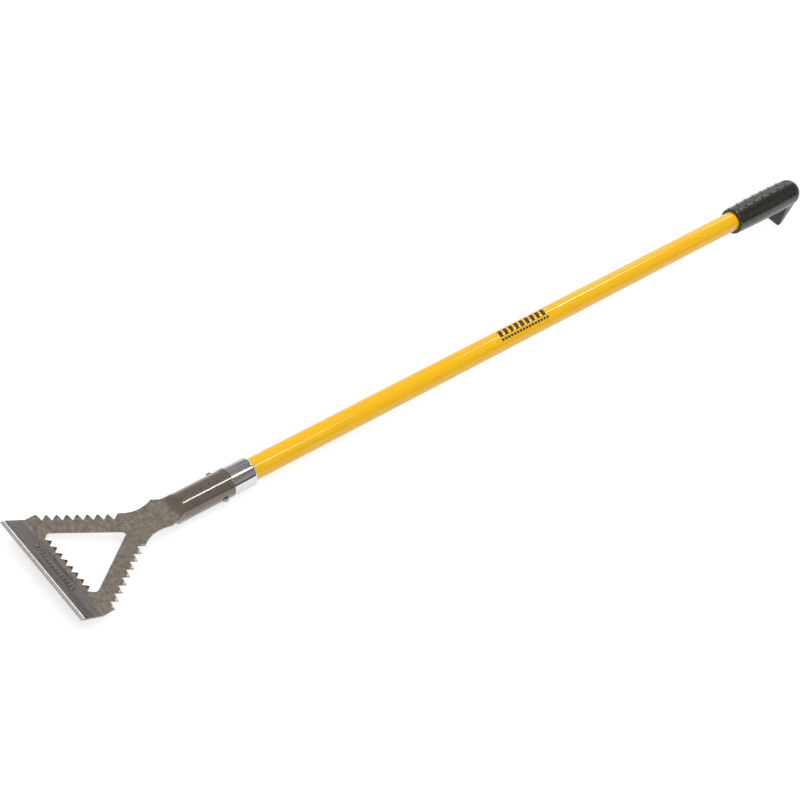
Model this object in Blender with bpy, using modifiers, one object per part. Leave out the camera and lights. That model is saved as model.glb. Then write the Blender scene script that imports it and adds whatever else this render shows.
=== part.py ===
"""Roofing shovel: a toothed A-frame head on a long fibreglass handle with a hook grip.

The tool is modelled along its handle, in metres: x = 0 is where the ferrule ends and the bare
handle starts, +x runs to the grip, and the blade lies at -x. y runs across the blade and z is up.
The whole tool hangs on one empty, which lays it on the ground on its hook and its socket's heel.
"""

import math

import bmesh
import bpy
from mathutils import Matrix, Vector

MM = 0.001
GAP = 0.3 * MM  # between neighbours that touch

# Handle
HANDLE_R = 16.0 * MM
HANDLE_WALL = 3.5 * MM
HANDLE_BARE = 988.0 * MM  # from the ferrule to the grip
HANDLE_IN_SOCKET = 112.0 * MM
HANDLE_IN_GRIP = 138.0 * MM
PLUG_LENGTH = 92.0 * MM
END_PLUG_LENGTH = 60.0 * MM
ROUND_SIDES = 64

# Head: one sheet of steel, measured to its middle surface
SHEET = 2.6 * MM
FRAME_TILT = math.radians(3.2)  # the frame falls away from the handle towards the blade
FRAME_PIVOT_X = -70.0 * MM
FRAME_PIVOT_Z = 11.0 * MM
NECK_START = -150.0 * MM
WAIST_S = -161.0 * MM
WAIST_HALF = 20.6 * MM
BLADE_HALF = 88.5 * MM
BLADE_RISE = math.radians(32.9)
BEND_X = -287.0 * MM
BEND_R = 5.0 * MM
BLADE_LENGTH = 41.9 * MM  # developed, from the bar's tooth roots to the edge
BLADE_LINES = [w * MM for w in (0, 1.5, 2.5, 3.4, 4.4, 6, 8, 10, 12, 14, 16, 18, 24, 33, 41.9)]
GRIND_WIDTH = 5.0 * MM
GRIND_EDGE = 0.8 * MM

# Teeth
ARM_ANGLE = math.radians(33.9)
TOOTH_PITCH = 12.7 * MM
TOOTH_DEPTH = 10.0 * MM
TOOTH_LEAN = 8.1 * MM  # valley's place along the arm, from the tooth's tip towards the neck
FIRST_TIP = Vector((-197.5, 37.2)) * MM
ARM_TEETH = 8  # on each arm, the corner one included
ARM_WIDTH = 28.2 * MM  # from the tips to the opening
BAR_X = -284.0 * MM  # the roots of the teeth inside the opening
BAR_PITCH = 11.8 * MM
BAR_TEETH = 8
BAR_TOOTH_HEIGHT = 7.1 * MM
OPENING_CORNER_R = 5.0 * MM
TIP_GRIND = 4.8 * MM  # how far in from the tips the teeth are ground
TIP_THICK = 1.2 * MM

# Pressed swage along the blade's bend
SWAGE_HALF = 73.0 * MM
SWAGE_WIDTH = 18.0 * MM
SWAGE_START = 1.0 * MM
SWAGE_DEPTH = 2.2 * MM
BAR_END_STEPS = 6

# Socket
SOCKET_R = 18.8 * MM  # to the middle of the sheet
SOCKET_MOUTH = -37.5 * MM
SOCKET_FULL = -112.0 * MM
SOCKET_LIP = 0.5 * MM  # the mouth is belled out a little
SOCKET_LIP_LENGTH = 8.0 * MM
SEAM_HALF_ANGLE = math.radians(8.0)
WING_START = -141.0 * MM
PRESS_START = -128.0 * MM
PRESS_END = -105.0 * MM
FOLD_R = 5.0 * MM
SOCKET_TAPER = 0.3 * MM
FLARE = 14.5 * MM
FOLD_GROWS = 13.0 * MM  # the wing's fold starts sharp and has its full radius after this
MAX_FOLD_COS = 0.35
OVER_STEPS = 9
WING_STEPS = 10
WING_END = -114.5 * MM
RIM_POWER = 0.6  # how the wings' rim falls back from the plate's edge to the seam
SOCKET_WHOLE = -102.0 * MM
ROLLED_STEPS = 18

# Ferrule
FERRULE_R = 20.5 * MM
FERRULE_ROUND = 3.5 * MM
SPIGOT_R = 17.2 * MM
SPIGOT_END = -47.0 * MM

# Rivet
RIVET_X = -52.0 * MM
RIVET_R = 3.0 * MM
RIVET_HEAD_R = 5.0 * MM
RIVET_HEAD_HEIGHT = 3.2 * MM
RIVET_TURN = math.radians(12)

# Grip
GRIP_R = 21.2 * MM  # at its rim
GRIP_BULGE = 1.5 * MM  # how much thicker it is in the middle
GRIP_START = HANDLE_BARE
GRIP_END = 1153.0 * MM
GRIP_DOME = 20.0 * MM
GRIP_RIM = 1.6 * MM
GRIP_SIDES = 56
HOOK_HALF = 15.0 * MM
HOOK_INNER_X = 1125.0 * MM
HOOK_TIP = (1121.5 * MM, -58.0 * MM)
HOOK_BACK = [  # the hook's back from its tip up into the grip's end, x and z in mm
    (1131.0, -55.0),
    (1136.0, -42.0),
    (1142.0, -28.0),
    (1147.5, -16.0),
    (1149.5, -8.0),
    (1147.5, 0.0),
    (1140.0, 6.0),
]
HOOK_ROUND = 2.2 * MM


def smoothstep(t):
    t = min(1.0, max(0.0, t))
    return t * t * (3 - 2 * t)


def smooth_min(a, b, radius):
    """The smaller of a and b, rounded where they cross."""
    if abs(a - b) >= radius:
        return min(a, b)
    h = 0.5 + 0.5 * (b - a) / radius
    return b + (a - b) * h - radius * h * (1 - h)


# ---------------------------------------------------------------- Blender helpers


def clear_scene():
    for thing in list(bpy.data.objects):
        bpy.data.objects.remove(thing, do_unlink=True)


def new_collection(name):
    collection = bpy.data.collections.new(name)
    bpy.context.scene.collection.children.link(collection)
    return collection


def material(name, colour, roughness, metallic=0.0):
    made = bpy.data.materials.new(name)
    made.use_nodes = True
    shader = made.node_tree.nodes["Principled BSDF"]
    shader.inputs["Base Color"].default_value = (*colour, 1.0)
    shader.inputs["Roughness"].default_value = roughness
    shader.inputs["Metallic"].default_value = metallic
    return made


def mesh_object(name, bm, collection):
    mesh = bpy.data.meshes.new(name)
    bm.to_mesh(mesh)
    bm.free()
    made = bpy.data.objects.new(name, mesh)
    collection.objects.link(made)
    return made


def take_material(part, surface):
    part.data.materials.clear()
    part.data.materials.append(surface)
    part.data.shade_smooth()
    part.data.set_sharp_from_angle(angle=math.radians(35))


def make_cutter(part):
    part.hide_render = True
    part.display_type = "WIRE"
    return part


def boolean(part, other, operation):
    modifier = part.modifiers.new(operation.title(), "BOOLEAN")
    modifier.operation = operation
    modifier.solver = "EXACT"
    modifier.object = other
    return modifier


def turned(name, outline, collection, sides=ROUND_SIDES):
    """A closed outline of (x, radius) points, turned about the x axis. It runs towards -x outside."""
    bm = bmesh.new()
    points = [bm.verts.new((x, 0.0, radius)) for x, radius in outline]
    for one, two in zip(points, points[1:] + points[:1]):
        bm.edges.new((one, two))
    part = mesh_object(name, bm, collection)
    screw = part.modifiers.new("Turn", "SCREW")
    screw.axis = "X"
    screw.steps = sides
    screw.render_steps = sides
    screw.use_merge_vertices = True
    screw.merge_threshold = 0.00001
    screw.use_normal_calculate = True
    return part


def turned_open(name, outline, collection, sides=ROUND_SIDES):
    """An outline of (x, radius) points whose ends lie on the x axis, turned about that axis."""
    bm = bmesh.new()
    points = [bm.verts.new((x, 0.0, radius)) for x, radius in outline]
    for one, two in zip(points, points[1:]):
        bm.edges.new((one, two))
    part = mesh_object(name, bm, collection)
    screw = part.modifiers.new("Turn", "SCREW")
    screw.axis = "X"
    screw.steps = sides
    screw.render_steps = sides
    screw.use_merge_vertices = True
    screw.merge_threshold = 0.00001
    return part


def rod(name, start, end, radius, collection, sides=32):
    """A plain round bar between two points."""
    start, end = Vector(start), Vector(end)
    bm = bmesh.new()
    bmesh.ops.create_cone(
        bm,
        cap_ends=True,
        segments=sides,
        radius1=radius,
        radius2=radius,
        depth=(end - start).length,
    )
    turn = (end - start).to_track_quat("Z", "Y").to_matrix().to_4x4()
    bm.transform(Matrix.Translation((start + end) / 2) @ turn)
    return mesh_object(name, bm, collection)


# ---------------------------------------------------------------- the head's sheet


def frame_point(s, y, lift=0.0):
    """A point of the frame's middle surface, s along it and y across it, lifted off it by lift."""
    along = s - FRAME_PIVOT_X
    x = FRAME_PIVOT_X + along * math.cos(FRAME_TILT) - lift * math.sin(FRAME_TILT)
    z = FRAME_PIVOT_Z + along * math.sin(FRAME_TILT) + lift * math.cos(FRAME_TILT)
    return Vector((x, y, z))


def neck_half(s):
    """Half the neck's width: a waist between the socket's wings and the frame's shoulders."""
    spread = 0.0083 if s > WAIST_S else 0.0143
    return WAIST_HALF + spread / MM * (s - WAIST_S) ** 2


def socket_radius(x):
    """The socket's radius to the middle of its sheet: belled mouth, slight taper, flared neck."""
    flare = max(0.0, (SOCKET_FULL - x) / (SOCKET_FULL - NECK_START))
    taper = SOCKET_TAPER * (SOCKET_MOUTH - x) / (SOCKET_MOUTH - NECK_START)
    lip = SOCKET_LIP * smoothstep(1 - (SOCKET_MOUTH - x) / SOCKET_LIP_LENGTH)
    return SOCKET_R + lip - taper + FLARE * flare**3


def plate_height(x):
    return FRAME_PIVOT_Z + (x - FRAME_PIVOT_X) * math.tan(FRAME_TILT)


def sheet_point(x, share):
    """A point of neck or socket: share 0 is its top line, 1 the plate's edge, 2 the seam."""
    level, radius = plate_height(x), socket_radius(x)
    fold = math.acos(min(level / radius, MAX_FOLD_COS))
    if x < WING_START:
        return Vector((x, neck_half(x) * math.sin(fold * share) / math.sin(fold), level))
    full = math.pi - SEAM_HALF_ANGLE
    angle = fold * share if share <= 1 else fold + (full - fold) * (share - 1)
    rise = smoothstep((x - PRESS_START) / (PRESS_END - PRESS_START))
    top = level + rise * (SOCKET_R + 2 * FOLD_R - level)
    fold_r = FOLD_R * smoothstep((x - WING_START) / FOLD_GROWS) + 0.01 * MM
    height = smooth_min(radius * math.cos(angle), top, fold_r)
    return Vector((x, radius * math.sin(angle), height))


def over_shares():
    return [math.sin(math.pi / 2 * i / OVER_STEPS) for i in range(OVER_STEPS + 1)]


def wing_shares():
    turns = [math.pi / 2 * i / WING_STEPS for i in range(1, WING_STEPS + 1)]
    return [2 - math.cos(turn) for turn in turns]


def both_sides(half):
    """A row of points from the top line down to the +y edge, made a whole row from +y to -y."""
    return half[::-1] + [Vector((p.x, -p.y, p.z)) for p in half[1:]]


def neck_row(x):
    return both_sides([sheet_point(x, share) for share in over_shares()])


def rolled_row(t):
    """One row of the rolled part: t is 0 on the wings' rim and 1 where the socket is whole."""
    half = []
    for share in over_shares() + wing_shares():
        rim = WING_START + (WING_END - WING_START) * max(0.0, share - 1) ** RIM_POWER
        half.append(sheet_point(rim + t * (SOCKET_WHOLE - rim), share))
    return both_sides(half)


def barrel_row(x):
    return both_sides([sheet_point(x, share) for share in over_shares() + wing_shares()])


def neck_rows():
    return [neck_row(x) for x in (NECK_START, (NECK_START + WING_START) / 2, WING_START)]


def socket_rows():
    rolled = [rolled_row(i / ROLLED_STEPS) for i in range(ROLLED_STEPS + 1)]
    barrel = [-88.0 * MM, -65.0 * MM]
    mouth = [SOCKET_MOUTH - SOCKET_LIP_LENGTH * (1 - i / 3) for i in range(4)]
    return rolled + [barrel_row(x) for x in barrel + mouth]


def arm_direction():
    """Along an arm's teeth on the +y side, from the neck towards the blade."""
    return Vector((-math.cos(ARM_ANGLE), math.sin(ARM_ANGLE)))


def arm_inward():
    return Vector((-math.sin(ARM_ANGLE), -math.cos(ARM_ANGLE)))


def arm_tip(i):
    return FIRST_TIP + arm_direction() * TOOTH_PITCH * i


def arm_valley(i):
    return arm_tip(i) - arm_direction() * TOOTH_LEAN + arm_inward() * TOOTH_DEPTH


def side_half(w):
    """Half the head's width at w from the bar's tooth roots towards the cutting edge."""
    inner = arm_tip(ARM_TEETH - 1).y
    return inner + (BLADE_HALF - inner) * w / BLADE_LENGTH


def outer_edge():
    """The frame's outer edge on the +y side, from just past the neck's end to its corner tooth."""
    steps = 8
    shoulder = arm_tip(-1)
    points = []
    for i in range(1, steps):
        s = NECK_START + (shoulder.x + 2 * MM - NECK_START) * i / (steps - 1)
        points.append(Vector((s, min(neck_half(s), shoulder.y))))
    points.append(shoulder)
    for i in range(ARM_TEETH):
        points += [arm_valley(i), arm_tip(i)]
    return points


def rounded(before, corner, after, radius, steps=5):
    """The arc of that radius which takes the corner's place and touches both of its sides."""
    one, two = (before - corner).normalized(), (after - corner).normalized()
    half = one.angle(two) / 2
    centre = corner + (one + two).normalized() * radius / math.sin(half)
    start = corner + one * radius / math.tan(half) - centre
    end = corner + two * radius / math.tan(half) - centre
    sweep = start.angle_signed(end)
    turns = [Matrix.Rotation(-sweep * i / steps, 2) for i in range(steps + 1)]
    return [centre + turn @ start for turn in turns]


def opening_edge():
    """The opening's edge on the +y side, from the bar to the apex."""
    arm = arm_direction()
    base = FIRST_TIP + arm_inward() * ARM_WIDTH
    apex = base - arm * base.y / arm.y
    root = Vector((BAR_X, BAR_PITCH * BAR_TEETH / 2))
    flank = Vector((BAR_TOOTH_HEIGHT, BAR_PITCH / 2))
    offset = root - apex
    reach = (arm.x * offset.y - arm.y * offset.x) / (flank.x * arm.y - flank.y * arm.x)
    corner = root + flank * reach
    mirrored = Vector((corner.x, -corner.y))
    top = rounded(corner, apex, mirrored, OPENING_CORNER_R, steps=8)
    return [root] + rounded(root, corner, apex, OPENING_CORNER_R) + top[: len(top) // 2 + 1]


def mirrored_loop(half):
    """A half outline that starts and ends anywhere, followed by its mirror image in reverse."""
    other = [Vector((p.x, -p.y)) for p in reversed(half)]
    return half + other


def bar_places():
    """Places across the bar where the frame's and the blade's meshes share points, from +y."""
    outer = side_half(0.0)
    root = BAR_PITCH * BAR_TEETH / 2
    ends = [outer + (root - outer) * i / BAR_END_STEPS for i in range(BAR_END_STEPS)]
    count = 4 * BAR_TEETH
    middle = [root - 2 * root * i / count for i in range(count + 1)]
    return ends + middle + [-y for y in reversed(ends)]


def frame_faces(bm):
    """The flat frame: one outline round both arms, and a small face for each of the bar's teeth."""
    places = bar_places()
    end_bar = [Vector((BAR_X, y)) for y in places[:BAR_END_STEPS]]
    half = outer_edge() + end_bar + opening_edge()
    loop = mirrored_loop(half)
    if (half[-1] - loop[len(half)]).length < 0.001 * MM:
        loop.pop(len(half))
    corners = [frame_point(p.x, p.y) for p in loop] + neck_row(NECK_START)[::-1]
    bm.faces.new([bm.verts.new(p) for p in corners])
    for i in range(BAR_TEETH):
        first = BAR_END_STEPS + 4 * i
        roots = [frame_point(BAR_X, y) for y in places[first : first + 5]]
        tip = frame_point(BAR_X + BAR_TOOTH_HEIGHT, places[first + 2])
        bm.faces.new([bm.verts.new(p) for p in roots + [tip]])


def blade_profile(w):
    """Where the blade's middle surface is at w from the bar's roots: along, up, and its slope."""
    tangent = BEND_R * math.tan(BLADE_RISE / 2)
    start = BAR_X - BEND_X - tangent
    if w <= start:
        return -w, 0.0, 0.0
    turned_by = min((w - start) / BEND_R, BLADE_RISE)
    along = -start - BEND_R * math.sin(turned_by)
    up = BEND_R * (1 - math.cos(turned_by))
    straight = max(0.0, w - start - BEND_R * BLADE_RISE)
    along -= straight * math.cos(BLADE_RISE)
    up += straight * math.sin(BLADE_RISE)
    return along, up, turned_by


def swage(w, y):
    """How deep the swage presses the sheet down: a boat with pointed ends along the bend."""
    share = 1 - (y / SWAGE_HALF) ** 2
    if share <= 0:
        return 0.0
    t = (w - SWAGE_START) / (SWAGE_WIDTH * share)
    if not 0 < t < 1:
        return 0.0
    return SWAGE_DEPTH * math.sqrt(share) * math.sin(math.pi * t) ** 2


def blade_rows():
    rows = []
    for w in BLADE_LINES:
        along, up, slope = blade_profile(w)
        spread = side_half(w) / side_half(0.0)
        row = []
        for place in bar_places():
            y = place * spread
            press = swage(w, y)
            s = BAR_X + along - press * math.sin(slope)
            row.append(frame_point(s, y, up - press * math.cos(slope)))
        rows.append(row)
    return rows


def add_rows(bm, rows):
    """Faces between neighbouring rows of points, all with the same count."""
    verts = [[bm.verts.new(p) for p in row] for row in rows]
    for low, high in zip(verts, verts[1:]):
        for i in range(len(low) - 1):
            bm.faces.new((low[i], low[i + 1], high[i + 1], high[i]))


def grinding_wheel(cutters):
    """The cutter whose lower face grinds the cutting edge on the blade's upper side."""
    length = 2 * BLADE_HALF + 20 * MM
    drop = math.atan2(SHEET - GRIND_EDGE, GRIND_WIDTH)
    bm = bmesh.new()
    bmesh.ops.create_cube(bm, size=1.0)
    bm.transform(Matrix.Diagonal((30 * MM, length, 10 * MM, 1.0)))
    bm.transform(Matrix.Translation((-12 * MM, 0, 5 * MM)))
    bm.transform(Matrix.Rotation(-drop, 4, "Y"))
    bm.transform(Matrix.Translation((0, 0, SHEET / 2)))
    bm.transform(Matrix.Rotation(BLADE_RISE, 4, "Y"))
    along, up, _ = blade_profile(BLADE_LENGTH - GRIND_WIDTH)
    bm.transform(Matrix.Translation((BAR_X + along - FRAME_PIVOT_X, 0, up)))
    bm.transform(Matrix.Rotation(-FRAME_TILT, 4, "Y"))
    bm.transform(Matrix.Translation((FRAME_PIVOT_X, 0, FRAME_PIVOT_Z)))
    return make_cutter(mesh_object("grinding_cutter", bm, cutters))


def tooth_grinder(name, base, along, inward, length, cutters):
    """A cutter that grinds a row of teeth down to thin tips. base, along and inward lie in the
    frame's plane: the row's tip line starts at base and runs along, and its teeth lie inward."""
    top = SHEET / 2
    drop = (SHEET - TIP_THICK) / TIP_GRIND
    beyond = 5 * MM
    section = [
        (TIP_GRIND, top),
        (-beyond, top - drop * (TIP_GRIND + beyond)),
        (-beyond, top + beyond),
        (TIP_GRIND, top + beyond),
    ]
    bm = bmesh.new()
    ends = []
    for run in (0.0, length):
        places = [(base + along * run + inward * depth, lift) for depth, lift in section]
        ends.append([bm.verts.new(frame_point(p.x, p.y, lift)) for p, lift in places])
    bm.faces.new(ends[0])
    bm.faces.new(ends[1])
    for i in range(4):
        j = (i + 1) % 4
        bm.faces.new((ends[0][i], ends[0][j], ends[1][j], ends[1][i]))
    bmesh.ops.recalc_face_normals(bm, faces=bm.faces[:])
    return make_cutter(mesh_object(name, bm, cutters))


def tooth_grinders(cutters):
    """Cutters for the teeth of both arms and of the bar."""
    arm, inward = arm_direction(), arm_inward()
    start = arm_tip(-1)
    length = TOOTH_PITCH * ARM_TEETH + 0.5 * MM
    root = BAR_PITCH * BAR_TEETH / 2
    bar_start = Vector((BAR_X + BAR_TOOTH_HEIGHT, -root))
    flip = Matrix(((1, 0), (0, -1)))
    return [
        tooth_grinder("grinder_left", start, arm, inward, length, cutters),
        tooth_grinder("grinder_right", flip @ start, flip @ arm, flip @ inward, length, cutters),
        tooth_grinder("grinder_bar", bar_start, Vector((0, 1)), Vector((-1, 0)), 2 * root, cutters),
    ]


def make_head(parts, cutters, rivet_hole):
    bm = bmesh.new()
    add_rows(bm, neck_rows())
    add_rows(bm, socket_rows())
    frame_faces(bm)
    add_rows(bm, blade_rows())
    bmesh.ops.remove_doubles(bm, verts=bm.verts[:], dist=0.01 * MM)
    bmesh.ops.recalc_face_normals(bm, faces=bm.faces[:])
    head = mesh_object("shovel_head", bm, parts)
    sheet = head.modifiers.new("Sheet", "SOLIDIFY")
    sheet.thickness = SHEET
    sheet.offset = 0.0
    sheet.use_even_offset = True
    for cutter in [grinding_wheel(cutters), *tooth_grinders(cutters), rivet_hole]:
        boolean(head, cutter, "DIFFERENCE")
    take_material(head, material("lacquered_steel", (0.16, 0.145, 0.125), 0.38, 0.9))
    return head


# ---------------------------------------------------------------- handle, ferrule and rivet


def make_handle(parts, rivet_hole):
    inner = HANDLE_R - HANDLE_WALL
    low, high = -HANDLE_IN_SOCKET, HANDLE_BARE + HANDLE_IN_GRIP
    outline = [(high, HANDLE_R), (low, HANDLE_R), (low, inner), (high, inner)]
    tube = turned("handle_tube", outline, parts)
    boolean(tube, rivet_hole, "DIFFERENCE")
    take_material(tube, material("yellow_fibreglass", (0.92, 0.50, 0.015), 0.22))
    return tube


def make_plugs(parts, rivet_hole):
    radius = HANDLE_R - HANDLE_WALL - GAP
    low = -HANDLE_IN_SOCKET
    wood = material("plug_wood", (0.55, 0.38, 0.2), 0.7)
    core = rod("core_plug", (low, 0, 0), (low + PLUG_LENGTH, 0, 0), radius, parts)
    boolean(core, rivet_hole, "DIFFERENCE")
    high = HANDLE_BARE + HANDLE_IN_GRIP
    end = rod("end_plug", (high - END_PLUG_LENGTH, 0, 0), (high, 0, 0), radius, parts)
    take_material(core, wood)
    take_material(end, wood)


def arc(centre, radius, first, last, steps):
    """Points of (x, radius) on an arc, its angles in degrees from +x towards outwards."""
    turns = [math.radians(first + (last - first) * i / steps) for i in range(steps + 1)]
    return [(centre[0] + radius * math.cos(a), centre[1] + radius * math.sin(a)) for a in turns]


def make_ferrule(parts):
    bore = HANDLE_R + GAP
    shoulder = SOCKET_MOUTH + GAP
    crown = arc((-FERRULE_ROUND, FERRULE_R - FERRULE_ROUND), FERRULE_ROUND, 0, 90, 8)
    outline = [(0.0, bore)] + crown + [(shoulder, FERRULE_R), (shoulder, SPIGOT_R)]
    outline += [(SPIGOT_END, SPIGOT_R), (SPIGOT_END, bore)]
    ferrule = turned("ferrule", outline, parts)
    take_material(ferrule, material("chrome_plate", (0.8, 0.8, 0.82), 0.08, 1.0))
    return ferrule


def make_rivet(parts):
    """The rivet, turned about x at the origin, then swung across the handle."""
    seat = SOCKET_R + SHEET / 2 + GAP
    ball = (RIVET_HEAD_R**2 + RIVET_HEAD_HEIGHT**2) / (2 * RIVET_HEAD_HEIGHT)
    centre = seat + RIVET_HEAD_HEIGHT - ball
    rim = math.degrees(math.asin(RIVET_HEAD_R / ball))
    dome = arc((centre, 0.0), ball, 0, rim, 8)
    half = dome + [(seat, RIVET_R)]
    outline = half + [(-x, radius) for x, radius in reversed(half)]
    rivet = turned_open("head_rivet", outline, parts, 32)
    rivet.rotation_euler = (0, -RIVET_TURN, math.radians(90))
    rivet.location = (RIVET_X, 0, 0)
    take_material(rivet, material("rivet_steel", (0.6, 0.59, 0.57), 0.3, 1.0))
    return rivet


# ---------------------------------------------------------------- grip


def grip_radius(x):
    """The grip's radius: a rounded rim, a slightly barrelled body and a domed end."""
    radius = GRIP_R + GRIP_BULGE * math.sin(math.pi * (x - GRIP_START) / (GRIP_END - GRIP_START))
    from_rim = min(1.0, (x - GRIP_START) / GRIP_RIM)
    radius -= GRIP_RIM * (1 - math.sqrt(1 - (1 - from_rim) ** 2))
    into_dome = max(0.0, (x - (GRIP_END - GRIP_DOME)) / GRIP_DOME)
    return radius * math.sqrt(max(0.0, 1 - into_dome**2))


def grip_outline():
    """The grip's outline from the top of its dome, over its outside, to the middle of its rim."""
    dome = [GRIP_END - GRIP_DOME * (1 - math.cos(math.radians(9 * i))) for i in range(11)]
    straight = dome[-1] - GRIP_START - GRIP_RIM
    body = [dome[-1] - straight * i / 9 for i in range(1, 9)]
    rim = [GRIP_START + GRIP_RIM * (1 - math.sin(math.radians(30 * i))) for i in range(4)]
    return [(x, grip_radius(x)) for x in dome + body + rim] + [(GRIP_START, 0.0)]


def hook_prism(cutters):
    """The hook under the grip's end: its side outline, given its width and rounded edges."""
    back = [(x * MM, z * MM) for x, z in HOOK_BACK]
    outline = [(HOOK_INNER_X, back[-1][1]), (HOOK_INNER_X, -GRIP_R), HOOK_TIP] + back
    bm = bmesh.new()
    face = bm.faces.new([bm.verts.new((x, -HOOK_HALF, z)) for x, z in outline])
    drawn = bmesh.ops.extrude_face_region(bm, geom=[face])["geom"]
    moved = [v for v in drawn if isinstance(v, bmesh.types.BMVert)]
    bmesh.ops.translate(bm, verts=moved, vec=(0, 2 * HOOK_HALF, 0))
    bmesh.ops.recalc_face_normals(bm, faces=bm.faces[:])
    hook = mesh_object("hook_shape", bm, cutters)
    soften = hook.modifiers.new("Rounding", "BEVEL")
    soften.width = HOOK_ROUND
    soften.segments = 3
    soften.limit_method = "ANGLE"
    soften.angle_limit = math.radians(40)
    return make_cutter(hook)


def make_grip(parts, cutters):
    """The grip, turned about the handle, with its hook joined on and cleared for the handle."""
    grip = turned_open("hook_grip", grip_outline(), parts, GRIP_SIDES)
    boolean(grip, hook_prism(cutters), "UNION")
    bore_end = HANDLE_BARE + HANDLE_IN_GRIP + GAP
    start, end = (GRIP_START - 10 * MM, 0, 0), (bore_end, 0, 0)
    bore = rod("grip_bore", start, end, HANDLE_R + GAP, cutters, GRIP_SIDES)
    boolean(grip, make_cutter(bore), "DIFFERENCE")
    take_material(grip, material("black_rubber", (0.022, 0.021, 0.019), 0.45))
    return grip


# ---------------------------------------------------------------- the whole tool


def final_points(part):
    """The part's points with its modifiers applied."""
    graph = bpy.context.evaluated_depsgraph_get()
    final = part.evaluated_get(graph)
    points = [v.co.copy() for v in final.to_mesh().vertices]
    final.to_mesh_clear()
    return points


def ground_pose(head, grip):
    """The empty that lays the tool on the ground, its hook's tip and its socket's heel down."""
    front, back = final_points(head), final_points(grip)
    low, high = 0.0, math.radians(5)
    for _ in range(40):
        pitch = (low + high) / 2
        turn = Matrix.Rotation(-pitch, 3, "Y")
        heel = min((turn @ p).z for p in front)
        toe = min((turn @ p).z for p in back)
        if toe < heel:
            low = pitch
        else:
            high = pitch
    across = [(turn @ p).x for p in front + back]
    pose = bpy.data.objects.new("ground_pose", None)
    bpy.context.scene.collection.objects.link(pose)
    pose.rotation_euler = (0, -pitch, 0)
    pose.location = (-(min(across) + max(across)) / 2, 0, -heel)
    return pose


def build():
    clear_scene()
    parts = new_collection("roofing_shovel")
    cutters = new_collection("cutters")
    across = 2 * HANDLE_R * math.cos(RIVET_TURN)
    lift = 2 * HANDLE_R * math.sin(RIVET_TURN)
    hole = rod(
        "rivet_hole",
        (RIVET_X, -across, -lift),
        (RIVET_X, across, lift),
        RIVET_R + GAP,
        cutters,
    )
    make_cutter(hole)
    head = make_head(parts, cutters, hole)
    make_ferrule(parts)
    make_handle(parts, hole)
    make_plugs(parts, hole)
    make_rivet(parts)
    grip = make_grip(parts, cutters)
    pose = ground_pose(head, grip)
    for thing in list(parts.objects) + list(cutters.objects):
        thing.parent = pose


build()
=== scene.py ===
"""Looks of the roofing shovel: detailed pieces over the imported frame, studio light and camera.

Every piece is modelled in the tool's own frame, in metres: x = 0 is where the ferrule ends and the
bare handle starts, +x runs to the grip, y runs across the blade and z is up from the handle's
middle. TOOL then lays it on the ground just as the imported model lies.
"""

import math

import bmesh
import bpy
from mathutils import Matrix, Vector


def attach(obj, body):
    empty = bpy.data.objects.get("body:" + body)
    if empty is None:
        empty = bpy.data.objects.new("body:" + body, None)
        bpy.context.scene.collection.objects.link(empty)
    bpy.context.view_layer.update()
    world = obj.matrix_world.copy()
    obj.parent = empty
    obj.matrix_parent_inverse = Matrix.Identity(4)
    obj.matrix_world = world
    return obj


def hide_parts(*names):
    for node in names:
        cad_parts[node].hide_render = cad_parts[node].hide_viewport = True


MM = 0.001
GAP = 0.3 * MM
GROUND_PITCH = math.radians(1.74808)
GROUND_PLACE = Vector((-0.415463, 0.0, 0.0231504))
TOOL = Matrix.Translation(GROUND_PLACE) @ Matrix.Rotation(-GROUND_PITCH, 4, "Y")

# Handle
HANDLE_R = 16.0 * MM
HANDLE_BARE = 988.0 * MM  # where the grip starts
HANDLE_LOW = -112.0 * MM
HANDLE_HIGH = 1126.0 * MM
HANDLE_WALL = 3.5 * MM

# Print on the handle, its angles in degrees from the top towards -y
PRINT_LIFT = 0.04 * MM
PRINT_START = 455.0 * MM
PRINT_LENGTH = 98.0 * MM
PRINT_BARS = 9
PRINT_BAR_INSET = 3.0 * MM
PRINT_BAR_SHARE = 0.62
PRINT_BAR_ANGLES = (-27.0, 17.0)
PRINT_BAR_SLANT = -3.2 * MM
PRINT_DASHES = 16
PRINT_DASH_SHARE = 0.72
PRINT_DASH_ANGLES = (25.5, 39.0)

# Head, one folded sheet, measured to its middle surface
SHEET = 2.6 * MM
FRAME_TILT = math.radians(3.2)
FRAME_PIVOT_X = -70.0 * MM
FRAME_PIVOT_Z = 11.0 * MM
NECK_START = -150.0 * MM
WAIST_S = -161.0 * MM
WAIST_HALF = 20.6 * MM
WAIST_SPREAD_TO_SOCKET = 0.0083 / MM
WAIST_SPREAD_TO_ARMS = 0.0143 / MM
BLADE_HALF = 88.5 * MM
BLADE_RISE = math.radians(32.9)
BEND_X = -287.0 * MM
BEND_R = 5.0 * MM
BLADE_LENGTH = 41.9 * MM  # developed, from the bar's tooth roots to the edge
BLADE_FINE_STEP = 0.5 * MM  # between the mesh rows that carry the swage and the stamped bars
BLADE_FINE_ROWS = 48
BLADE_COARSE_ROWS = 6
GRIND_WIDTH = 5.0 * MM
GRIND_EDGE = 0.8 * MM
WHEEL_DEPTH = 30.0 * MM
WHEEL_HEIGHT = 10.0 * MM
WHEEL_BEHIND = 3.0 * MM  # reaches back from where the slope starts
WHEEL_BESIDE = 10.0 * MM  # reaches past the blade on either side
EDGE_SOFT = 0.22 * MM

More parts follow.
